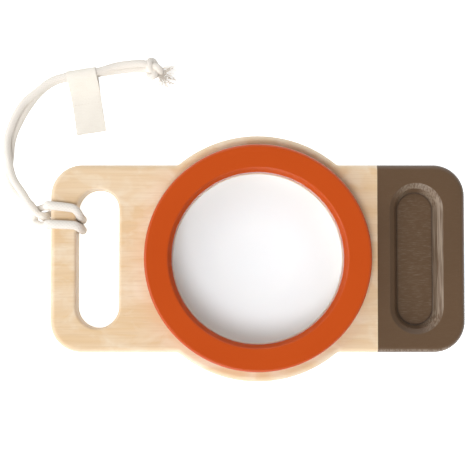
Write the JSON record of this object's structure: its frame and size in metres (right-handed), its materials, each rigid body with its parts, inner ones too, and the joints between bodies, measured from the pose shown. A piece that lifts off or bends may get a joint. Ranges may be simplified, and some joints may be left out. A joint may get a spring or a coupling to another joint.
{
  "type": "toy magnifying glass",
  "caption": "Flat wooden toy magnifying glass: clear convex lens in a raised round ring, finger slot at one end, painted grip with a pocket at the other, and a cotton wrist strap.",
  "frame": {"origin": "middle of the lens, half way between the plate's back and the front of the ring, which is also the centre of the toy's box without its strap", "axes": "+X along the plate from the finger slot to the painted grip, +Y across the plate towards the side where the strap lies, +Z out of the front, through the ring"},
  "size_m": [0.2027, 0.1424, 0.0265],
  "materials": {
    "bare_wood": "fine-sanded pale hardwood, grain along X, satin",
    "brown_paint": "wood under thin dark brown paint, satin, grain faintly telegraphed",
    "orange_paint": "wood under smooth orange paint, satin",
    "clear_lens": "clear polished acrylic",
    "cotton_cord": "undyed braided cotton, matte",
    "cotton_fibre": "loose undyed cotton fibres, matte",
    "label_tape": "cream woven cotton tape, matte"
  },
  "bodies": {
    "body": {"body_plate": "bare_wood", "grip_end": "brown_paint", "lens_ring": "orange_paint", "lens": "clear_lens", "strap_hitch": "cotton_cord"},
    "strap": {"strap_tail_lower": "cotton_cord", "strap_tail_upper": "cotton_cord", "strap_knot": "cotton_cord", "strap_fray": "cotton_fibre", "label_loop": "label_tape"},
    "label": {"label_leaf": "label_tape"}
  },
  "joints": [
    {"name": "strap_swing", "type": "hinge", "parent": "body", "child": "strap", "pos_m": [-0.10025, 0.0241, -0.00699], "axis": [-0.0186, 0, 0.9998], "range_deg": [-18, 75]},
    {"name": "label_flap", "type": "hinge", "parent": "strap", "child": "label", "pos_m": [-0.07648, 0.07325, -0.01395], "axis": [-0.9886, -0.1494, -0.0184], "range_deg": [0, 100]}
  ]
}
